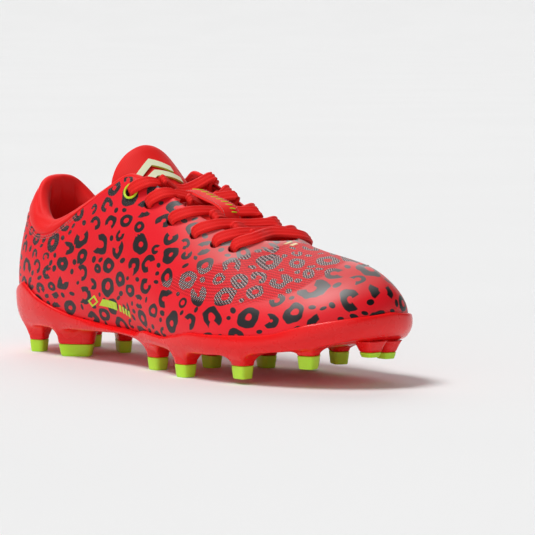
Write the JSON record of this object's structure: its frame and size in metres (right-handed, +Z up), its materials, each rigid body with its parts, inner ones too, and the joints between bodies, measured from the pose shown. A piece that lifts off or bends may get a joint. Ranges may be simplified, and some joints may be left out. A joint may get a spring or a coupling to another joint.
{
  "type": "soccer cleat",
  "caption": "Right-foot low-cut soccer cleat: printed lasted upper, padded collar and tongue, flat lace, glossy moulded outsole with two-colour conical studs.",
  "frame": {"origin": "middle of the shoe's length and width, on the ground plane under the studs", "axes": "+X from heel to toe, +Y from the lateral side to the medial side, +Z up"},
  "size_m": [0.2743, 0.0903, 0.112],
  "materials": {
    "outsole_red": "glossy moulded red plate",
    "stud_lime": "satin lime stud ends",
    "board": "matt non-woven board",
    "sockliner_fabric": "matt knitted cover over foam",
    "printed_upper": "coated synthetic, red with a printed dark rosette pattern",
    "stiffener": "matt thermoplastic sheet",
    "reinforcement": "matt non-woven tape",
    "lining_fabric": "brushed red mesh",
    "collar_satin": "smooth red satin weave",
    "foam": "open-cell foam padding",
    "tongue_fabric": "padded red knit",
    "emblem": "raised satin badge",
    "keeper_band": "woven red band",
    "eyelet_lime": "satin lime ring",
    "lace_fabric": "flat ribbed red weave",
    "aglet_plastic": "clear-coated red sleeve"
  },
  "bodies": {
    "shoe": {"outsole_plate": "outsole_red", "stud_tip_heel_lateral_rear": "stud_lime", "stud_tip_heel_lateral_front": "stud_lime", "stud_tip_heel_medial_rear": "stud_lime", "stud_tip_heel_medial_front": "stud_lime", "stud_tip_arch_lateral": "stud_lime", "stud_tip_ball_lateral_rear": "stud_lime", "stud_tip_ball_lateral_front": "stud_lime", "stud_tip_toe_lateral": "stud_lime", "stud_tip_ball_centre": "stud_lime", "stud_tip_ball_medial_rear": "stud_lime", "stud_tip_ball_medial_middle": "stud_lime", "stud_tip_ball_medial_front": "stud_lime", "stud_tip_toe_medial": "stud_lime", "stud_tip_toe_tip": "stud_lime", "lasting_board": "board", "upper_shell": "printed_upper", "heel_counter": "stiffener", "toe_puff": "stiffener", "eyestay_reinforcement_lateral": "reinforcement", "eyestay_reinforcement_medial": "reinforcement", "vamp_lining": "lining_fabric", "heel_lining": "lining_fabric", "collar_lining": "lining_fabric", "collar_panel": "collar_satin", "collar_foam": "foam", "tongue_base_face": "tongue_fabric", "tongue_base_foam": "foam", "tongue_base_lining": "lining_fabric", "lace_keeper": "keeper_band", "eyelet_ring_lateral": "eyelet_lime", "eyelet_ring_medial": "eyelet_lime", "lace": "lace_fabric", "aglet_lateral": "aglet_plastic", "aglet_medial": "aglet_plastic"},
    "tongue_tip": {"tongue_tip_face": "tongue_fabric", "tongue_tip_foam": "foam", "tongue_tip_lining": "lining_fabric", "tongue_emblem": "emblem"},
    "sockliner": {"sockliner": "sockliner_fabric"}
  },
  "joints": [
    {"name": "tongue_tip_fold", "type": "hinge", "parent": "shoe", "child": "tongue_tip", "pos_m": [-0.026, 0.00015, 0.0997], "axis": [0, 1, 0], "range_deg": [-10, 20]},
    {"name": "sockliner_lift", "type": "hinge", "parent": "shoe", "child": "sockliner", "pos_m": [0.127, 0.008, 0.03], "axis": [0, 1, 0], "range_deg": [0, 4]}
  ]
}
